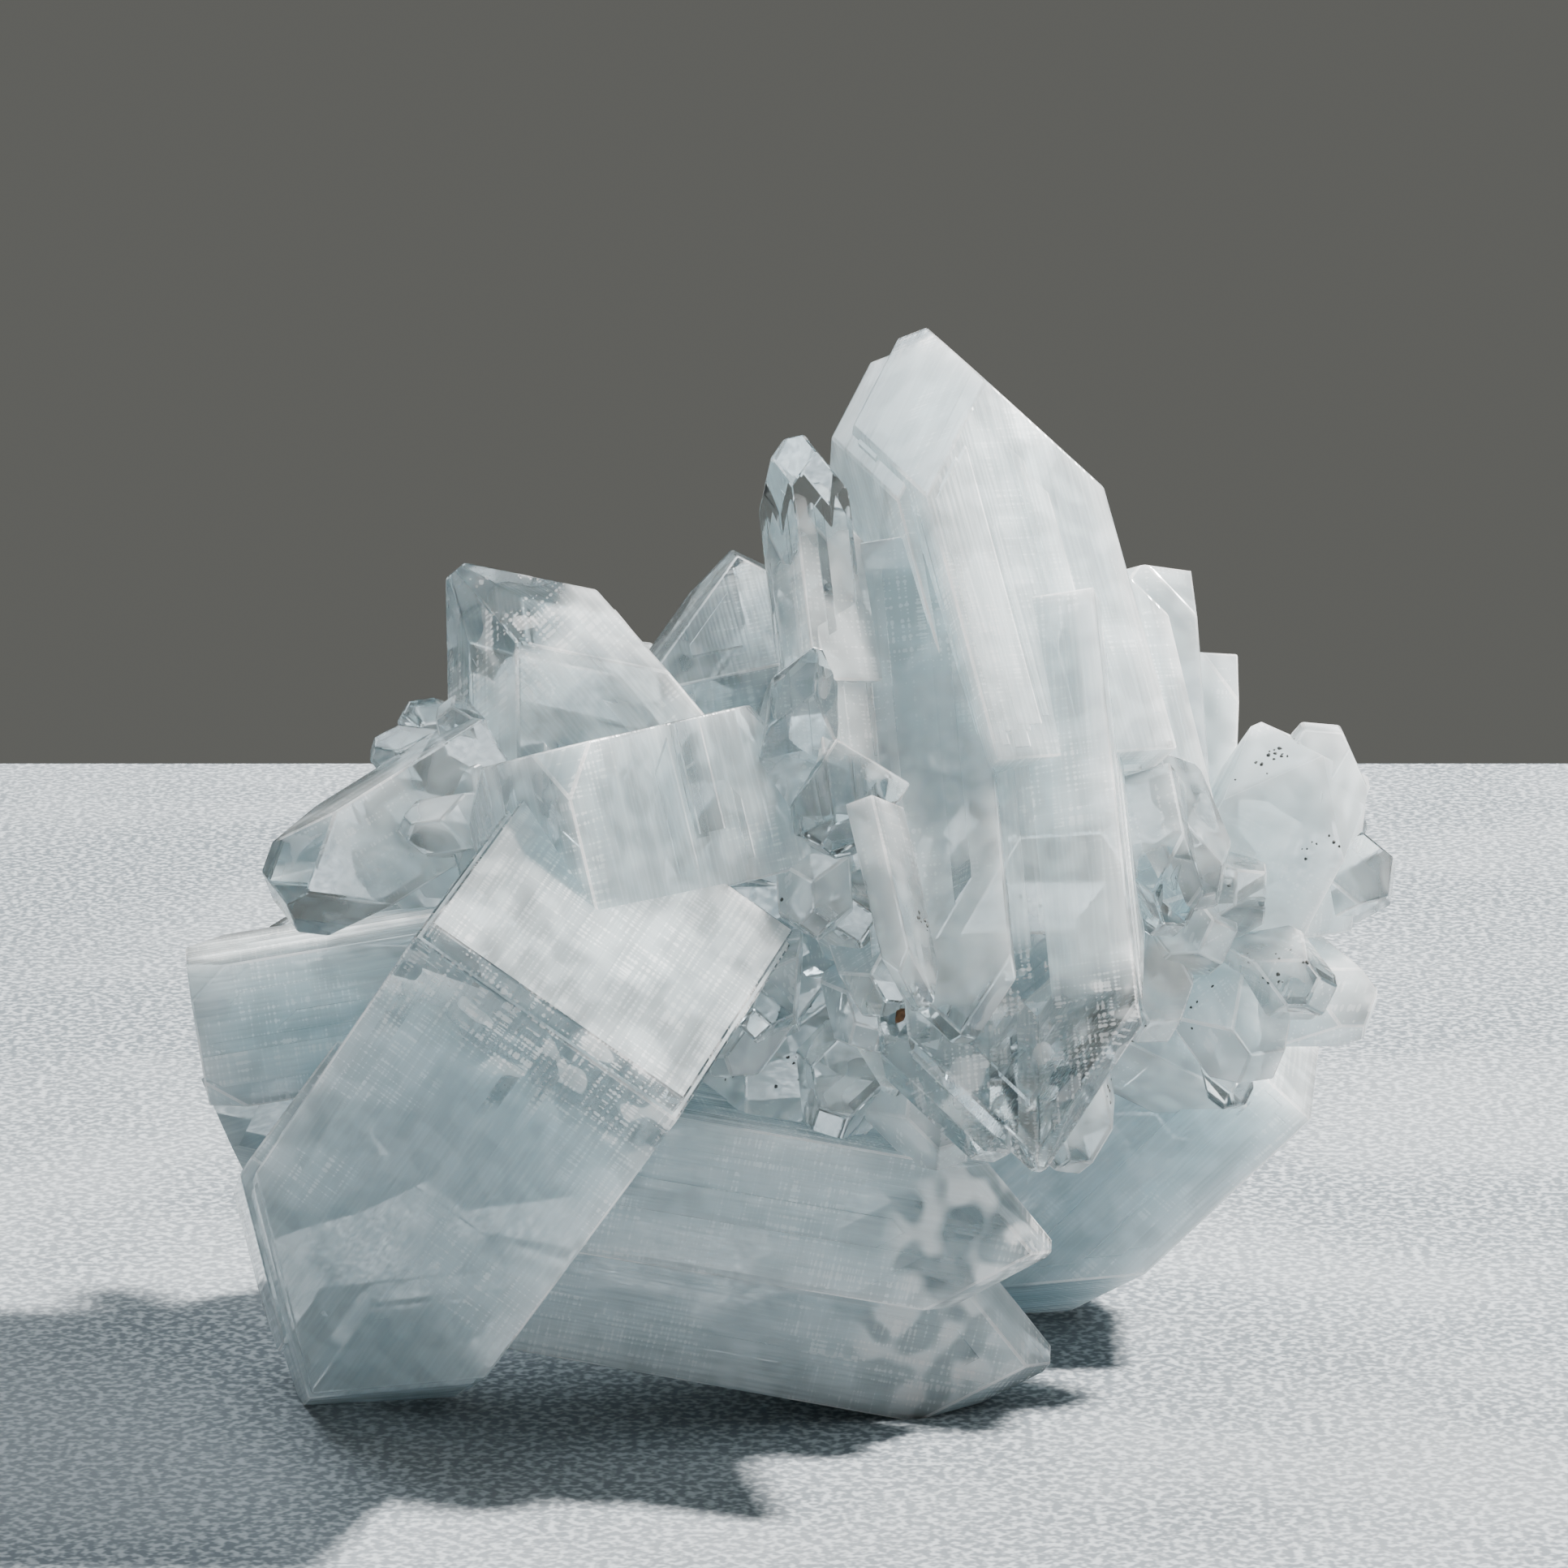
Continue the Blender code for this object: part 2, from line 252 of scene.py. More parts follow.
# %% The crystals of the cluster
# The list was laid out round this point of the table, which is the frame's origin.
ORIGIN = Vector((-0.030485, 2.263126, 0))
PYRAMID_TILT = math.radians(60.4)

Crystal = namedtuple(
    "Crystal", "name tip heading roll length across deep blunt apex", defaults=((0, 0),)
)

LARGE = (
    Crystal("spire", (6.1, 14, 53.3), (114, 55), 32, 27, 10, 10.6, 1.4),
    Crystal("spire left", (4.9, 14.3, 52.4), (114, 55), 32, 27, 9.5, 9.5, 1.8),
    Crystal("spire right", (10.5, 14.5, 46.5), (112, 57), 32, 24, 9, 10, 1.6),
    Crystal("fang", (11.8, -15.2, 15.9), (-82, -56), 9, 29.5, 11.2, 11, 0.5, (0, -4.7)),
    Crystal("fang back", (9.6, -13.4, 15.4), (-82, -56), 9, 33.5, 9.4, 9, 1.2, (0, -3.6)),
    Crystal("fang left", (8.3, -12.3, 21.2), (-82, -56), 9, 27, 5.6, 11, 0.8, (0, -4.7)),
    Crystal("wedge", (0.4, -6, 28.6), (-150, -54), 0, 6.4, 4.2, 4.4, 1.6),
    Crystal("slab", (-25.2, 5, -2), (132, -48), 7, 39.8, 14.2, 14.2, 3.2, (-1, 0)),
    Crystal("slab rim", (-25, 4.8, -1.7), (132, -48), 7, 38.3, 14.8, 14.8, 4.2, (-1, 0)),
    Crystal("slab heel", (-26.4, 6.2, 0.6), (132, -48), 7, 17, 13, 12, 2.4),
    Crystal("tower", (-11, -3, 46), (139, 72), 44, 19.5, 14, 8, 11.2),
    Crystal("foot upper", (13.4, -3, 8.9), (12, -13), 0, 27, 7.6, 8, 0.6, (0, -2.5)),
    Crystal("foot lower", (13.8, 1, 1.9), (12, -14), 0, 38, 7.8, 9, 0.9, (0, -2.5)),
    Crystal("tail", (5.4, 17, -1.2), (165, -46), 0, 26, 12, 10, 2),
    Crystal("left", (-36.8, 4, 17.4), (-174, -8), 0, 29, 7.4, 7, 7),
    Crystal("left lower", (-32.3, 6, 10.6), (-169, -23), 0, 24, 6.4, 7, 4),
    Crystal("crest left", (-17, 2, 42.8), (172, 50), 10, 18, 9.5, 8.5, 0.8),
    Crystal("crest", (-3.3, 14, 41.5), (103, 33), 10, 14, 10.5, 9.5, 3),
)

SMALL = (
    Crystal("needle", (0.2, 6, 48.9), (102, 59), 32, 20, 3.2, 3.6, 0.9),
    Crystal("needle low", (0.5, 5.5, 46.3), (108, 55), 32, 12, 3.8, 3.8, 0.6),
    Crystal("paw", (-26.6, -6, 26.1), (-159, -28), 0, 15, 5.4, 5, 2.2),
    Crystal("crest small", (1.4, -3, 39.6), (6, 75), 10, 10, 3.6, 3.6, 0.4),
    Crystal("shoulder", (17.7, 14, 43.2), (100, 68), 0, 18, 5, 5, 3.4),
    Crystal("shoulder low", (20.6, 12, 39.4), (80, 78), 0, 16, 4.5, 4.5, 3.2),
    Crystal("ear", (28, 6, 35.8), (12, 62), 0, 16, 6.8, 6, 3.8),
    Crystal("ear tip", (26.7, 5, 35.4), (0, 85), 45, 12, 3.6, 3.8, 1.7),
    Crystal("sparkle", (18.6, -5.4, 24.6), (-75, -52), 12, 9, 4.2, 4, 1.2),
    Crystal("sparkle low", (20.6, -4, 26), (-69, -39), 30, 9, 3.4, 3.2, 1),
    Crystal("east 1", (23.5, -1.5, 27), (-60, 15), 10, 12, 4.4, 4.2, 1.6),
    Crystal("east 2", (32, 5, 25.6), (-12, -4), 20, 14, 5.4, 5, 1.8),
    Crystal("east 3", (29.6, 7, 29.4), (10, 30), 0, 10, 3.2, 3, 1),
    Crystal("east 4", (27.1, -2.4, 21.2), (-50, -10), 30, 12, 3.6, 3.4, 1.4),
    Crystal("east 5", (30.8, 3, 18.8), (-14, -16), 15, 14, 4.6, 4.6, 1.8),
    Crystal("east 6", (24.1, -2, 16.7), (-62, -32), 0, 14, 5, 4.8, 1.8),
    Crystal("east 7", (22, -2.4, 24), (-55, -5), 25, 12, 4.6, 4.4, 1.6),
    Crystal("east 8", (22.5, 3, 13.8), (-60, -65), 0, 8, 2.4, 2.2, 0.8),
    Crystal("east 9", (18.6, -2.5, 18.6), (-70, -40), 10, 14, 5, 5, 1.6),
    Crystal("inner 1", (3, -7.5, 26.5), (-95, 5), 12, 14, 4.6, 4.4, 1.4),
    Crystal("inner 2", (3.4, -8.5, 20.5), (-100, -18), 30, 14, 4.2, 4, 1.2),
    Crystal("inner 3", (-1.8, -9, 21.5), (-95, -10), 0, 14, 3.6, 4, 1),
    Crystal("inner 4", (6.2, -7.5, 16.6), (-80, -38), 20, 14, 5.2, 5, 1.6),
    Crystal("inner 5", (-2.2, -6.5, 14.4), (-105, -28), 10, 16, 7, 6, 1.8),
    Crystal("inner 7", (8.4, -8.4, 14.2), (-64, -31), 15, 14, 4.4, 5, 1.4),
    Crystal("inner 8", (1.6, -7.5, 15.6), (-104, -26), 25, 14, 5.4, 5, 1.4),
    Crystal("inner 9", (-3.9, -8.6, 19.2), (-116, -19), 20, 14, 3.4, 3.6, 1),
    Crystal("inner 10", (1.2, -9, 26.4), (-90, -18), 5, 14, 3.6, 3.4, 1),
    Crystal("inner 11", (5, -9.6, 22.4), (-80, -16), 35, 14, 3, 3.2, 0.8),
    Crystal("inner 6", (14, -6.5, 13), (-80, -50), 10, 12, 4.4, 4, 1.2),
    Crystal("blade", (6.4, -12.5, 23), (-66, -58), 20, 11, 1.5, 3.6, 0.6),
    Crystal("brow 1", (-19.9, 3, 35.3), (180, 30), 0, 10, 2.8, 2.6, 0.8),
    Crystal("brow 2", (-21.4, 1, 33.6), (-170, 15), 20, 10, 3, 3, 0.8),
    Crystal("brow 3", (-22, -1, 31), (-165, 10), 0, 10, 3.4, 3, 1),
    Crystal("brow 4", (-17.6, -1, 36.6), (-160, 45), 30, 10, 3.6, 3.4, 1),
    Crystal("brow 5", (-16.4, -5.5, 33.4), (-115, 25), 15, 12, 4.2, 4, 1.2),
    Crystal("brow 7", (-16.6, -6.4, 31), (-129, 28), 25, 10, 3.4, 3.6, 1),
    Crystal("brow 8", (-12.6, -2.4, 37), (-97, 41), 10, 10, 4.4, 4, 1.2),
    Crystal("brow 9", (-19.2, -7, 31.2), (-141, 8), 30, 10, 2.8, 3, 0.8),
    Crystal("brow 10", (-8.2, -1, 38.2), (-100, 55), 35, 10, 4.6, 4.2, 1.2),
    Crystal("brow 6", (-19, -5, 29), (-125, 5), 0, 12, 4, 4, 1.4),
)

BACK = (
    Crystal("heart", (2, 9, 37), (100, 80), 20, 24, 13, 12, 7),
    Crystal("heart low", (10, 10, 8), (-20, -60), 10, 22, 12, 12, 6),
    Crystal("heart left", (-16, 6, 22), (178, -10), 30, 24, 12, 12, 5),
    Crystal("heart right", (22, 4, 24), (-5, 5), 35, 22, 12, 11, 4),
    Crystal("back 1", (2, 27, 34), (85, 24), 10, 28, 9.5, 9, 1.6),
    Crystal("back 2", (-17, 20, 36), (130, 34), 20, 28, 8.5, 8, 1.2),
    Crystal("back 3", (21, 24, 20), (55, -2), 0, 28, 8.5, 9, 2),
    Crystal("back 4", (-20, 21, 13), (138, -16), 10, 28, 9, 8, 1.6),
    Crystal("back 5", (1, 27, 14), (95, -18), 15, 26, 7, 7.5, 1.4),
    Crystal("back 6", (13, 24, 42), (72, 48), 30, 22, 5.5, 5, 0.8),
    Crystal("back 7", (-7, 25, 24), (105, 6), 25, 22, 5, 5.4, 1.2),
    Crystal("back 8", (12, 26, 27), (70, 10), 40, 22, 4.6, 5, 1),
    Crystal("back 9", (-24, 13, 26), (160, 8), 10, 22, 5.6, 5, 1.6),
    Crystal("back 10", (27, 15, 29), (32, 22), 0, 22, 5, 5.6, 1.2),
    Crystal("bud 1", (8, 26, 20.4), (80, -5), 20, 14, 3.4, 3.2, 0.8),
    Crystal("bud 2", (-3.4, 26, 29.4), (99, 15), 5, 14, 3, 3.2, 0.7),
    Crystal("bud 3", (-12.4, 24, 18.6), (118, -9), 30, 14, 3.6, 3.4, 0.9),
    Crystal("bud 4", (16.4, 25.2, 34.4), (64, 29), 15, 16, 3.4, 3.6, 0.8),
    Crystal("bud 5", (-9.6, 24.4, 34.6), (112, 26), 0, 16, 3.8, 3.4, 1),
    Crystal("bud 6", (7.4, 25, 8.2), (84, -31), 25, 14, 3.6, 3.8, 1),
    Crystal("bud 7", (21.6, 20.4, 9), (50, -33), 10, 16, 4.2, 3.8, 1),
    Crystal("bud 8", (26.2, 11.4, 11.6), (21, -29), 35, 14, 4, 4.2, 1.2),
    Crystal("bud 9", (-23.6, 17.6, 28), (144, 14), 20, 16, 3.4, 3.2, 0.9),
    Crystal("bud 10", (-27.6, 10.6, 21.6), (168, 0), 40, 12, 3, 3.4, 0.8),
)
CRYSTALS = LARGE + SMALL + BACK
print(len(CRYSTALS), "crystals")

# %% [markdown]
# ## What the faces remember
#
# The finish has to know where on its crystal each spot lies, even after all crystals
# are one solid.  So each crystal carries three UV maps.  `growth` holds millimetres
# across and along the crystal, `habit` holds the kind of face and how far into the
# clear end a spot lies, and `nature` holds how milky the face is and its tone, with
# painted light and shade in it.  Tones fill 0 to 0.5 on plain crystals and 0.5 to 1 on
# those whose sides are finely lined.

# %% Kinds of face, milkiness and clear ends
PRISM, PYRAMID, END, EDGE_KIND = 0.1, 0.35, 0.6, 0.85
SAME_NORMAL = 0.996
LINED = 0.5
USUAL_TONE = 0.45
USUAL_CLEAR = 1.5
FACE_MILK_SPREAD = 0.1
FACE_TONE_SPREAD = 0.15
# Each crystal's growth map starts somewhere else, so that no two show the same lines.
ACROSS_SHIFT, ALONG_SHIFT = 40, 60
# The habit map holds tens of millimetres, which keeps its numbers small.
CLEAR_UNIT = 10

MILKINESS = {
    "slab": 0.66, "slab rim": 0.68, "slab heel": 0.6, "foot upper": 0.7,
    "foot lower": 0.74, "tail": 0.8, "left": 0.66, "left lower": 0.6, "spire": 0.62,
    "spire left": 0.66, "spire right": 0.6, "fang": 0.52, "fang back": 0.4,
    "tower": 0.34, "crest": 0.3, "crest left": 0.4, "needle": 0.34, "needle low": 0.4,
    "paw": 0.25, "wedge": 0.2, "crest small": 0.25, "ear": 0.7, "sparkle": 0.2,
    "sparkle low": 0.3, "shoulder": 0.5, "shoulder low": 0.6, "fang left": 0.45,
    "ear tip": 0.7,
}
CLEAR_END = {
    "fang": 9, "fang back": 9, "needle": 7, "crest": 6, "paw": 4, "wedge": 5,
    "crest left": 5, "crest small": 5, "sparkle": 4, "spire": 2, "back 1": 8,
    "back 3": 6, "back 5": 8, "back 6": 9, "fang left": 3,
}
# The slab stands on its tip, so its clear band lies under the flat face at its foot.
CLEAR_FOOT = {"slab rim": 3.6, "slab": 5.1}
# Tones run from 0, greyish, to 1, white.  Part of each is the crystal's own tone and
# part is painted light and shade: spire left, crest left and crest are whiter as painted
# light, and the foot, slab and tower are greyer as painted shade.
TONE_WITH_PAINTED_LIGHT = {
    "slab": 0.2, "slab rim": 0.2, "slab heel": 0.2, "foot upper": 0.08, "foot lower": 0.12,
    "tail": 0.25, "tower": 0.1, "left": 0.3, "left lower": 0.3, "spire left": 0.95,
    "crest left": 0.95, "crest": 0.8, "spire": 0.6, "fang": 0.5, "ear": 0.7, "ear tip": 0.7,
}


def nature_of(crystal):
    """How milky a crystal is, its clear end, its tone with painted light, and LINED if
    lined.
    """
    name = crystal.name.removesuffix(" rib")
    milk = MILKINESS.get(name)
    if milk is None:
        milk = 0.15 + 0.45 * random.Random(name).random()
    tone = TONE_WITH_PAINTED_LIGHT.get(name, USUAL_TONE)
    lined = name in RIBBED or name.startswith("slab")
    clear_end = (1, CLEAR_END.get(name, USUAL_CLEAR))
    if name in CLEAR_FOOT:
        clear_end = (-1, CLEAR_FOOT[name] - crystal.length)
    return milk, clear_end, tone, LINED if lined else 0


def kind_of(normal):
    """Which kind of face has this normal in the crystal's own axes."""
    slope = math.sin(PYRAMID_TILT) * math.sqrt(0.5)
    over_edge = (abs(normal.x) + abs(normal.y)) * slope + normal.z * math.cos(PYRAMID_TILT)
    if abs(normal.z) > SAME_NORMAL:
        return END
    if max(abs(normal.x), abs(normal.y)) > SAME_NORMAL:
        return PRISM
    if over_edge > SAME_NORMAL:
        return PYRAMID
    return EDGE_KIND


def write_uv(item, number, nature):
    """Fill the three UV maps from where each face lies in the crystal's own axes."""
    milk, (sense, start), tone, lined = nature
    dice = random.Random(number)
    growth = item.data.uv_layers.new(name="growth")
    habit = item.data.uv_layers.new(name="habit")
    own = item.data.uv_layers.new(name="nature")
    for face in item.data.polygons:
        kind = kind_of(face.normal)
        turned = abs(face.normal.x) > abs(face.normal.y)
        face_milk = milk + dice.uniform(-FACE_MILK_SPREAD, FACE_MILK_SPREAD)
        shade = tone + dice.uniform(-FACE_TONE_SPREAD, FACE_TONE_SPREAD)
        face_tone = lined + LINED * min(0.98, max(0.02, shade))
        for loop in face.loop_indices:
            place = item.data.vertices[item.data.loops[loop].vertex_index].co / MM
            across = place.y if turned else place.x
            along = place.z
            if kind == END:
                across, along = place.x, place.y
            growth.data[loop].uv = (
                across + ACROSS_SHIFT * (number % 97), along + ALONG_SHIFT * (number % 7)
            )
            habit.data[loop].uv = (kind, (sense * place.z + start) / CLEAR_UNIT)
            own.data[loop].uv = (face_milk, face_tone)


# %% [markdown]
# ## Cutting a crystal from a cube
#
# In edit mode, bisect cuts the cube by a plane, throws away what lies beyond it and
# closes the cut.  The sharp edges are then bevelled by a tenth of a millimetre.  Real
# edges are never perfectly sharp, and the bevel is what catches the light as a thin
# bright line.

# %% Axes, cube, cuts and bevel
EDGE = 0.11 * MM
SHARP = math.radians(20)


def axes(crystal):
    """The crystal's own axes, z along its heading, as a matrix in mm from its tip."""
    bearing, climb = (math.radians(angle) for angle in crystal.heading)
    along = Vector((
        math.cos(climb) * math.cos(bearing),
        math.cos(climb) * math.sin(bearing),
        math.sin(climb),
    ))
    towards = Vector((0, -1, 0)) if abs(along.y) < 0.85 else Vector((0, 0, 1))
    front = (towards - along * towards.dot(along)).normalized()
    front.rotate(Matrix.Rotation(math.radians(crystal.roll), 3, along))
    side = (-front).cross(along)
    turn = Matrix((side, -front, along)).transposed().to_4x4()
    return Matrix.Translation(Vector(crystal.tip) - ORIGIN) @ turn


def cut(point, normal):
    """Throw away what lies beyond a plane, and close the cut."""
    bpy.ops.mesh.select_all(action="SELECT")
    bpy.ops.mesh.bisect(
        plane_co=point, plane_no=normal, use_fill=True, clear_outer=True, threshold=1e-7
    )


def select_sharp_edges(item, least):
    """Select the edges that are longer than `least` and turn by more than SHARP."""
    shape = bmesh.from_edit_mesh(item.data)
    for edge in shape.edges:
        angle = edge.calc_face_angle(0)
        edge.select_set(angle > SHARP and edge.calc_length() > least)
    bmesh.update_edit_mesh(item.data)


def grow(crystal, number, nature, edge=EDGE):
    """Make one crystal as an object whose place is in its mesh."""
    middle = Vector((-crystal.apex[0], -crystal.apex[1], -crystal.length / 2)) * MM
    bpy.ops.mesh.primitive_cube_add(size=1, location=middle)
    item = bpy.context.object
    item.name = crystal.name
    item.scale = Vector((crystal.across, crystal.deep, crystal.length)) * MM
    bpy.ops.object.transform_apply(location=True, rotation=False, scale=True)
    bpy.ops.object.mode_set(mode="EDIT")
    for turn in (45, 135, 225, 315):
        normal = Vector((math.sin(PYRAMID_TILT), 0, math.cos(PYRAMID_TILT)))
        normal.rotate(Matrix.Rotation(math.radians(turn), 3, "Z"))
        cut((0, 0, 0), normal)
    cut((0, 0, -crystal.blunt * MM), (0, 0, 1))
    if edge:
        bpy.ops.mesh.select_all(action="DESELECT")
        select_sharp_edges(item, 5 * edge)
        bpy.ops.mesh.bevel(offset=edge, segments=2, affect="EDGES", clamp_overlap=True)
    bpy.ops.object.mode_set(mode="OBJECT")
    while item.data.uv_layers:
        item.data.uv_layers.remove(item.data.uv_layers[0])
    write_uv(item, number, nature)
    place = axes(crystal)
    place.translation *= MM
    item.data.transform(place)
    return item


print("kinds of face:", PRISM, PYRAMID, END, EDGE_KIND)

# %% [markdown]
# ## Growth ribs
#
# The long sides of a large crystal are never one plane.  It grew as many parallel
# blades, each a hair prouder or shorter than the next, which the eye reads as lines and
# little steps.  A rib is the same crystal again, narrow and set off to one side, so its
# end is cut parallel to its parent's.  The first draw of the dice repeats the ribs that
# the frame has, and the second adds hair-fine ones that only a close look shows.

# %% Ribs for the large crystals
RIBBED = {
    "spire": 4, "spire left": 2, "spire right": 2, "fang": 2, "fang back": 2,
    "tower": 2, "foot upper": 2, "foot lower": 2, "tail": 3, "left": 2, "left lower": 1,
    "crest left": 2, "crest": 2, "back 1": 3, "back 2": 3, "back 3": 3, "back 4": 3,
    "back 5": 2, "back 6": 1, "back 7": 1,
}
FINE_RIBBED = {
    "spire": 5, "spire right": 3, "fang": 5, "fang left": 2, "fang back": 2, "slab rim": 3,
    "foot upper": 4, "foot lower": 4, "left": 4, "tower": 3, "crest left": 3, "crest": 3,
    "tail": 2, "needle": 2, "back 1": 2, "back 2": 2, "back 3": 2, "back 4": 2,
}
RIB_SEED, FINE_SEED = 7, 11
RIB_WIDTH, FINE_WIDTH = (0.7, 2.6), (0.25, 1.1)
RIB_PROUD, FINE_PROUD = (0.07, 0.22), (0.03, 0.09)
RIB_DEPTH = 2
RIB_DROP = (0.3, 7)
RIB_END = (0.2, 3)
RIB_REACH = 0.94
RIB_BLUNT = 0.1


def grow_ribs(crystal, count, dice, widths, prouds):
    """Return narrow copies of a crystal, set along its four sides."""
    made = []
    along = axes(crystal).to_3x3() @ Vector((0, 0, 1))
    for side in range(4):
        wide, thick = crystal.across, crystal.deep
        if side % 2:
            wide, thick = thick, wide
        for _ in range(count):
            span = dice.uniform(*widths)
            slide = dice.uniform(-1, 1) * (wide - span) / 2 * RIB_REACH
            step = thick / 2 + dice.uniform(*prouds) - RIB_DEPTH / 2
            drop = dice.uniform(*RIB_DROP)
            middle = ((slide, -step), (step, slide), (slide, step), (-step, slide))[side]
            sizes = (RIB_DEPTH, span) if side % 2 else (span, RIB_DEPTH)
            made.append(crystal._replace(
                name=crystal.name + " rib",
                tip=tuple(Vector(crystal.tip) - along * drop),
                length=crystal.length - drop - dice.uniform(*RIB_END),
                across=sizes[0],
                deep=sizes[1],
                blunt=max(RIB_BLUNT, crystal.blunt - drop + RIB_BLUNT),
                apex=(crystal.apex[0] - middle[0], crystal.apex[1] - middle[1]),
            ))
    return made


def ribs_of(counts, seed, widths, prouds):
    """The ribs of every crystal that `counts` names."""
    dice = random.Random(seed)
    made = []
    for crystal in CRYSTALS:
        made.extend(grow_ribs(crystal, counts.get(crystal.name, 0), dice, widths, prouds))
    return made


RIBS = ribs_of(RIBBED, RIB_SEED, RIB_WIDTH, RIB_PROUD)
FINE_RIBS = ribs_of(FINE_RIBBED, FINE_SEED, FINE_WIDTH, FINE_PROUD)
print(len(RIBS), "ribs and", len(FINE_RIBS), "fine ribs")

# %% [markdown]
# ## One solid
#
# The crystals grow through each other, so they are joined into one skin.  Light that
# goes into the cluster then meets no hidden walls, only the outside of the whole.  The
# exact Boolean solver is quick on small shapes and slow on large ones, so each crystal
# first takes up its own ribs, and only then joins the cluster.  Last, the table cuts
# the lowest tips flat where the cluster rests.

# %% Grow and join
ROUNDING = 0.001 * MM
SKIN_ROUNDING = 0.002 * MM
NUDGE = Vector((3, 2, -4)) * 0.001 * MM
KEPT_SHARE = 0.998
TRIES = 5


def merge_close(item, distance=ROUNDING):
    """Merge what lies within rounding of each other, which the solver stumbles over."""
    shape = bmesh.new()
    shape.from_mesh(item.data)
    bmesh.ops.remove_doubles(shape, verts=shape.verts, dist=distance)
    bmesh.ops.dissolve_degenerate(shape, edges=shape.edges, dist=distance)
    shape.to_mesh(item.data)
    measured = shape.calc_volume() / MM ** 3
    shape.free()
    return measured


def join(target, tool, operation="UNION"):
    """Apply an exact Boolean of `tool` to `target`, and delete `tool`.

    A union that comes out smaller than its parts is done again with the tool a few
    thousandths of a millimetre away.
    """
    least = max(merge_close(target), merge_close(tool)) * KEPT_SHARE
    before = target.data.copy()
    for _ in range(TRIES):
        modifier = target.modifiers.new(operation.lower(), "BOOLEAN")
        modifier.operation = operation
        modifier.solver = "EXACT"
        modifier.object = tool
        bpy.context.view_layer.objects.active = target
        bpy.ops.object.modifier_apply(modifier=modifier.name)
        if operation == "DIFFERENCE" or merge_close(target) > least:
            break
        print("once more:", tool.name)
        target.data = before.copy()
        tool.data.transform(Matrix.Translation(NUDGE))
    bpy.data.objects.remove(tool)


def grow_with_ribs(crystal, number):
    """Grow a crystal and join its ribs to it."""
    item = grow(crystal, number, nature_of(crystal), EDGE)
    for rib in RIBS + FINE_RIBS:
        if rib.name == crystal.name + " rib":
            join(item, grow(rib, number, nature_of(rib), 0))
    return item


bpy.ops.object.select_all(action="DESELECT")
cluster = grow_with_ribs(CRYSTALS[0], 0)
cluster.name = "crystal_cluster"
for number, crystal in enumerate(CRYSTALS[1:], start=1):
    join(cluster, grow_with_ribs(crystal, number))
print("joined:", len(cluster.data.polygons), "faces")

# %% The table's cut
CUTTER = 200 * MM

bpy.ops.mesh.primitive_cube_add(size=CUTTER, location=(0, 0, -CUTTER / 2))
join(cluster, bpy.context.object, "DIFFERENCE")


def keep_outer_skin(item):
    """Delete the sealed gaps between crystals, and leave the outer skin."""
    shape = bmesh.new()
    shape.from_mesh(item.data)
    bmesh.ops.remove_doubles(shape, verts=shape.verts, dist=SKIN_ROUNDING)
    bmesh.ops.dissolve_degenerate(shape, edges=shape.edges, dist=SKIN_ROUNDING)
    unseen = set(shape.verts)
    skins = []
    while unseen:
        skin = set()
        front = [unseen.pop()]
        while front:
            vert = front.pop()
            skin.add(vert)
            near = {edge.other_vert(vert) for edge in vert.link_edges} & unseen
            unseen -= near
            front.extend(near)
        skins.append(skin)
    outer = max(skins, key=len)
    inner = [vert for skin in skins if skin is not outer for vert in skin]
    bmesh.ops.delete(shape, geom=inner, context="VERTS")
    open_edges = sum(1 for edge in shape.edges if len(edge.link_faces) != 2)
    shape.to_mesh(item.data)
    shape.free()
    return len(skins), open_edges


print("skins and open edges:", keep_outer_skin(cluster))
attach(cluster, "root")
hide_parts("apophyllite_cluster")

# %% [markdown]
# ## The look of the crystal
#
# Apophyllite is glass-clear where it grew slowly and milky where it trapped veils of
# tiny bubbles.  So the finish is a mix of two shaders: clear, which bends light, and
# milky, which scatters it under the surface.  Clouds in the rock's own space and bands
# along each crystal say where each of them rules.

# %% The crystal's material
REFRACTION = 1.535
CLEAR_GLASS, CLEAREST_GLASS = (0.94, 0.985, 1.0, 1), (0.80, 0.87, 0.895, 1)
GREYISH, WHITISH = (0.49, 0.585, 0.615, 1), (0.79, 0.875, 0.90, 1)
# The second white here is painted highlight: glints and bright edges painted onto the faces.
HATCH_WHITE, PAINTED_HIGHLIGHT_WHITE = (0.86, 0.94, 0.96, 1), (0.95, 0.98, 0.98, 1)
END_GREY = (0.40, 0.47, 0.49, 1)
PEACH_STAIN, PEACH_SPOT = (0.86, 0.76, 0.68, 1), ((18.9, -2.9, 22.8), 1.9)
FOOT_CLOUDS = ((8.6, -7.8, 10.3), 4.6), ((6.7, -4.9, 3.8), 4.2)
ABSORBED, ABSORPTION_DENSITY = (0.76, 0.90, 0.93, 1), 6.0
BUMP_HEIGHT = 0.15 * MM
SCATTER_REACH = 13 * MM

sheet = Sheet("icy apophyllite")
rock = sheet.place()
growth = sheet.uv("growth")
kind = sheet.node("ShaderNodeSeparateXYZ", {}, sheet.uv("habit"))
into_clear = kind.other("Y")
milkiness = sheet.node("ShaderNodeSeparateXYZ", {}, sheet.uv("nature"))
tone_with_painted_light = milkiness.other("Y")
lined = tone_with_painted_light.above(LINED - 0.01, LINED + 0.01)

end_face = kind.above(0.45, 0.5) - kind.above(0.7, 0.75)
edge_face = kind.above(0.7, 0.75)


def spot(place, radius):
    """1 inside a ball round a place, in mm, with a soft rim."""
    middle = Vector(place) * MM
    away = sheet.node(
        "ShaderNodeVectorMath", {"operation": "DISTANCE"}, rock, middle, output="Value"
    )
    return 1 - away.above(radius * 0.6 * MM, radius * MM)


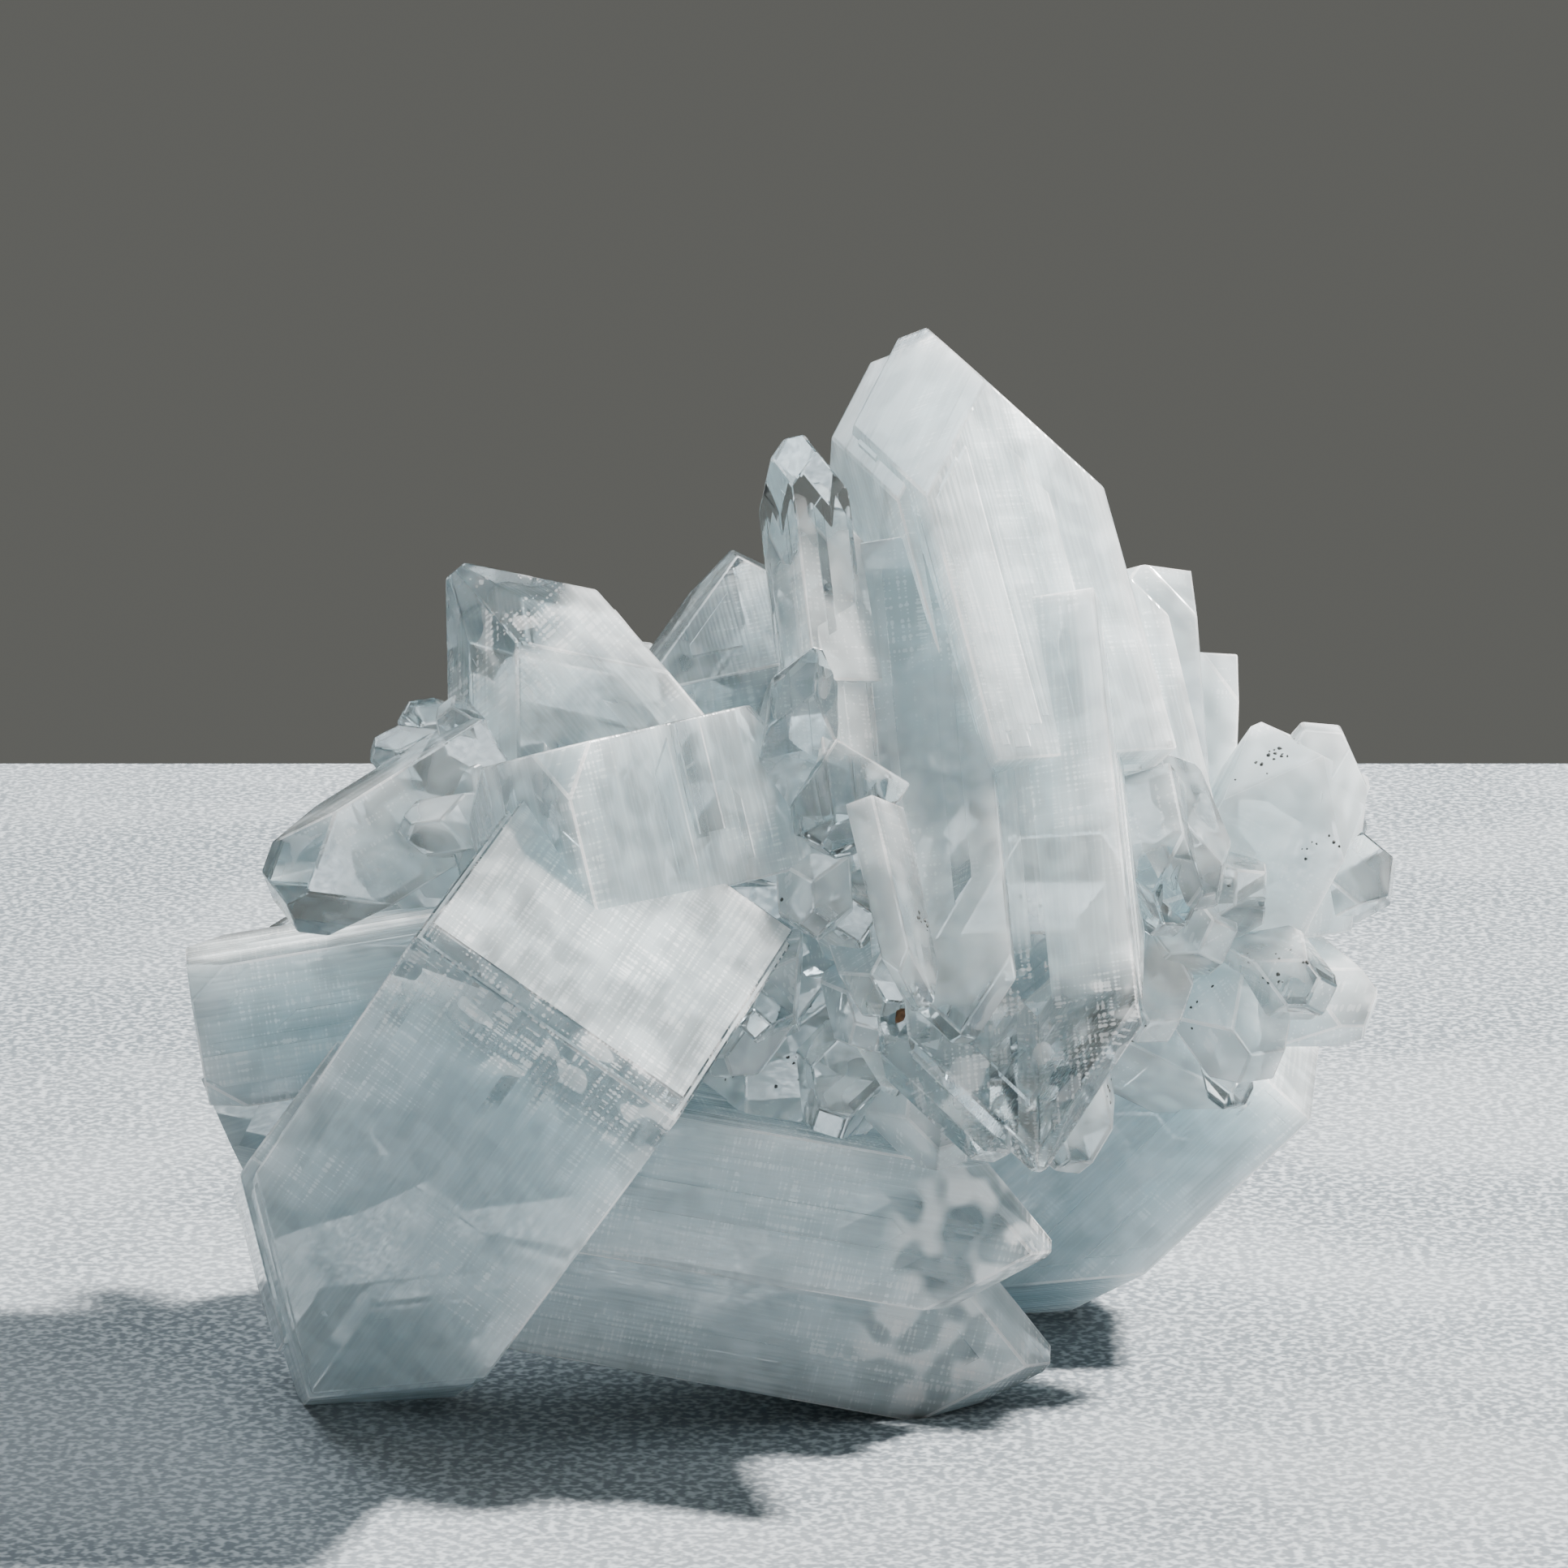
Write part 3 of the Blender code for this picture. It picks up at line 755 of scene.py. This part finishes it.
lines = sheet.noise(sheet.stretch(growth, 5.5, 0.2), 1, detail=0, space="2D")
broad = sheet.noise(sheet.stretch(growth, 0.9, 0.03), 1, detail=0, space="2D")
across = sheet.noise(sheet.stretch(growth, 0.4, 6.5), 1, detail=0, space="2D")
cloud = sheet.noise(rock, 140, detail=1, roughness=0.6)
fleck = sheet.noise(rock, 700, detail=0)

patch = cloud.above(0.46, 0.6)
clear_end = (into_clear + cloud * 0.8 - 0.4).above(-0.16, 0.2) * (1 - end_face)
height = lines * 0.3 * lined + broad * 0.8
bump = sheet.node("ShaderNodeBump", {}, Strength=1, Distance=BUMP_HEIGHT, Height=height)

hatch = (lines.above(0.5, 0.7) + across.above(0.5, 0.7) * patch) * lined * 0.5
# A grid of painted glints on lined crystals, in their clear ends and on their flat end
# faces.
mesh = (lines * across).above(0.30, 0.40) * (clear_end * 0.8 + end_face * 0.15) * lined
# Painted glints: the grid, specks in the clear ends and rare dashes in patches.  They make
# those spots milkier as well.
painted_glints = (mesh + fleck.above(0.6, 0.66) * clear_end * 0.6).clamp()
painted_glints = painted_glints.math("MAXIMUM", (lines * across).above(0.38, 0.43) * patch * 0.35)
foot_clouds = (spot(*FOOT_CLOUDS[0]) + spot(*FOOT_CLOUDS[1])).clamp()
wisps = fleck.above(0.42, 0.68)
# Painted highlight on bevelled edges in cloudy patches, which also makes them a little
# milkier.
rim = edge_face * cloud.above(0.4, 0.62)
milky = milkiness + patch * 0.24 - 0.04 + hatch * 0.08 + broad * 0.24 - 0.12
milky = milky - clear_end * 0.7 - end_face * 0.12 + rim * 0.2 + painted_glints * 0.4
milky = milky + wisps * 0.16 - 0.08 + foot_clouds * (wisps * 0.55 - 0.34)
milky = milky.math("MAXIMUM", 0.02).math("MINIMUM", 0.95)

glass = sheet.blend(clear_end, CLEAR_GLASS, CLEAREST_GLASS)
clear = sheet.node(
    "ShaderNodeBsdfPrincipled", {}, Base_Color=glass, Roughness=0.03,
    IOR=REFRACTION, Transmission_Weight=1.0,
)
# Each crystal's tone, partly its own and partly painted light and shade: whiter crystals at
# the upper left as painted light, a greyer foot, slab and tower as painted shade.
tone = sheet.blend(tone_with_painted_light.math("MODULO", LINED) * (1 / LINED), GREYISH, WHITISH)
tone = sheet.blend(hatch * 0.12, tone, HATCH_WHITE)
tone = sheet.blend(end_face * 0.3, tone, END_GREY)
tone = sheet.blend(spot(*PEACH_SPOT) * 0.6, tone, PEACH_STAIN)
# White painted over the tone: painted glints, painted highlights on edges, and the real
# white clouds in the foot.
white = (painted_glints + rim * 0.9 + foot_clouds * wisps * 0.6).clamp()
tone = sheet.blend(white, tone, PAINTED_HIGHLIGHT_WHITE)
milk = sheet.node(
    "ShaderNodeBsdfPrincipled", {}, Base_Color=tone, Roughness=0.2 + end_face * 0.4,
    IOR=REFRACTION, Subsurface_Weight=1.0, Subsurface_Radius=(0.92, 1.0, 1.04),
    Subsurface_Scale=SCATTER_REACH, Normal=bump,
)
crystal_finish = sheet.surface(
    sheet.node("ShaderNodeMixShader", {}, milky, clear, milk)
)
sheet.volume(sheet.node(
    "ShaderNodeVolumeAbsorption", {}, Color=ABSORBED, Density=ABSORPTION_DENSITY,
))
cluster.data.materials.clear()
cluster.data.materials.append(crystal_finish)
print("material nodes:", len(sheet.tree.nodes))

# %% [markdown]
# ## Specks on the faces
#
# Here and there the young faces carry dust-like dark grains, in loose groups, and one
# rusty brown crumb sits in the hollow in front.  One grain is modelled, and each copy
# is turned, squashed and set on the nearest spot of the skin.

# %% Specks
GROUPS = (
    ((23.9, 1.3, 32.5), 1.1, 16), ((26.1, 0, 28.3), 0.9, 8), ((24.3, -3.4, 22.9), 1.3, 12),
    ((20.4, -1.5, 21.0), 0.9, 8), ((-0.3, -4.2, 17.7), 1.3, 14), ((15.7, -5, 17.6), 1.6, 16),
    ((6.4, -12.1, 27.1), 0.6, 8), ((-0.4, -8.9, 27.6), 0.05, 1), ((12, -2, 14), 1.5, 10),
    ((-17, 13, 27), 1.2, 10), ((4, 19, 24), 1.4, 12), ((16, 15, 20), 1.2, 10),
    ((-24, 4, 14), 1.0, 8), ((24, 8, 24), 1.2, 9),
)
GRAIN = (0.06, 0.15)
SPECK_SEED = 21
CRUMB = ((5.3, -11.2, 22.4), (0.5, 0.3, 0.22))


def plain(name, colour, roughness):
    """A material of one colour with a little mottling."""
    sheet = Sheet(name)
    mottle = sheet.noise(sheet.place(), 4000, detail=1)
    darker = tuple(value * 0.45 for value in colour) + (1,)
    finish = sheet.node(
        "ShaderNodeBsdfPrincipled", {}, Roughness=roughness,
        Base_Color=sheet.blend(mottle.above(0.35, 0.65), darker, (*colour, 1)),
    )
    return sheet.surface(finish)


def make_grain():
    """One rough grain, a cut ball of about a millimetre."""
    bpy.ops.mesh.primitive_ico_sphere_add(subdivisions=1, radius=1 * MM)
    grain = bpy.context.object
    bpy.ops.object.mode_set(mode="EDIT")
    cut((0.5 * MM, 0.2 * MM, 0.3 * MM), (0.8, 0.3, 0.5))
    cut((-0.4 * MM, 0.5 * MM, 0), (-0.6, 0.8, 0.1))
    bpy.ops.object.mode_set(mode="OBJECT")
    while grain.data.uv_layers:
        grain.data.uv_layers.remove(grain.data.uv_layers[0])
    return grain


def set_on_skin(item, place, sizes, dice):
    """Scale an item and sink it halfway into the skin nearest to a place in mm."""
    _, touch, normal, _ = cluster.closest_point_on_mesh(Vector(place) * MM)
    upright = normal.to_track_quat("Z", "Y").to_matrix().to_4x4()
    spin = Matrix.Rotation(dice.uniform(0, math.tau), 4, "Z")
    size = Matrix.Diagonal((*sizes, 1))
    item.data.transform(Matrix.Translation(touch) @ upright @ spin @ size)


def copies_of(item, places, name, dice):
    """Copy an item to every (place, sizes), each copy with its own mesh, and join them."""
    made = []
    for place, sizes in places:
        copy = item.copy()
        copy.data = item.data.copy()
        bpy.context.collection.objects.link(copy)
        set_on_skin(copy, place, sizes, dice)
        made.append(copy)
    bpy.data.objects.remove(item)
    bpy.ops.object.select_all(action="DESELECT")
    for copy in made:
        copy.select_set(True)
    bpy.context.view_layer.objects.active = made[0]
    bpy.ops.object.join()
    made[0].name = name
    return made[0]


dice = random.Random(SPECK_SEED)
grains = []
for middle, spread, count in GROUPS:
    for _ in range(count):
        place = [value + dice.gauss(0, spread * 0.6) for value in middle]
        wide = dice.uniform(*GRAIN)
        grains.append((place, (wide, wide * dice.uniform(0.6, 1), wide * 0.5)))
specks = copies_of(make_grain(), grains, "specks", dice)
specks.data.materials.append(plain("dark dust", (0.05, 0.055, 0.05), 0.6))
crumb = copies_of(make_grain(), [CRUMB], "rusty_crumb", dice)
crumb.data.materials.append(plain("rusty crumb", (0.16, 0.07, 0.025), 0.7))
for piece in (specks, crumb):
    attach(piece, "root")
print(len(grains), "specks,", len(specks.data.polygons), "faces")

# %% [markdown]
# ## Veils inside
#
# Healed cracks stand inside the clear parts as silvery, feathery sheets.  A veil is a
# wavy disc, far thinner than a hair, that stays well inside the skin.  It bends light
# by another amount than the crystal round it, which is all that makes it show.

# %% Veils
VEILS = (
    ((-3.6, -7.2, 34.3), 2.2), ((-6.4, -8.2, 33.0), 1.8), ((10.8, -12.8, 20.2), 1.8),
    ((-2.3, 0.8, 38.0), 1.8), ((18.6, -5.9, 28.0), 1.4), ((-21.0, -6.9, 30.4), 1.4),
    ((6.9, -5.6, 9.4), 2.2),
)
VEIL_THICK = 0.02 * MM
VEIL_SEED = 31


def make_veil(reach, dice):
    """A wavy disc round the origin, with a ragged rim and a little thickness."""
    bpy.ops.mesh.primitive_circle_add(vertices=14, radius=reach * MM, fill_type="NGON")
    veil = bpy.context.object
    bpy.ops.object.mode_set(mode="EDIT")
    bpy.ops.mesh.select_all(action="SELECT")
    for _ in range(3):
        bpy.ops.mesh.inset(thickness=0.24 * reach * MM, depth=0)
    bpy.ops.mesh.select_all(action="SELECT")
    bpy.ops.mesh.extrude_region_move(TRANSFORM_OT_translate={"value": (0, 0, VEIL_THICK)})
    bpy.ops.object.mode_set(mode="OBJECT")
    phase = dice.uniform(0, math.tau)
    for vert in veil.data.vertices:
        bearing = math.atan2(vert.co.y, vert.co.x)
        ragged = 0.75 + 0.2 * math.sin(3 * bearing + phase) * math.cos(5 * bearing)
        vert.co.x *= ragged
        vert.co.y *= ragged * 0.8
        vert.co.z += 0.12 * vert.co.length * math.sin(2 * bearing + phase)
    while veil.data.uv_layers:
        veil.data.uv_layers.remove(veil.data.uv_layers[0])
    return veil


dice = random.Random(VEIL_SEED)
made = []
for middle, reach in VEILS:
    middle = Vector(middle) * MM
    _, skin, normal, _ = cluster.closest_point_on_mesh(middle)
    room = (skin - middle).dot(normal) / MM
    veil = make_veil(min(reach, room * 0.9), dice)
    facing = Vector((dice.uniform(-1, 1), dice.uniform(-1, 0.2), dice.uniform(-0.6, 1)))
    turn = facing.to_track_quat("Z", "Y").to_matrix().to_4x4()
    veil.data.transform(Matrix.Translation(middle) @ turn)
    made.append(veil)
bpy.ops.object.select_all(action="DESELECT")
for veil in made:
    veil.select_set(True)
bpy.context.view_layer.objects.active = made[0]
bpy.ops.object.join()
veils = made[0]
veils.name = "veils"
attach(veils, "root")

sheet = Sheet("silvery veil")
film = sheet.node(
    "ShaderNodeBsdfPrincipled", {}, Base_Color=(0.93, 0.98, 1.0, 1), Roughness=0.15,
    IOR=1.3, Transmission_Weight=1.0,
)
veils.data.materials.append(sheet.surface(film))
print(len(made), "veils,", len(veils.data.polygons), "faces")
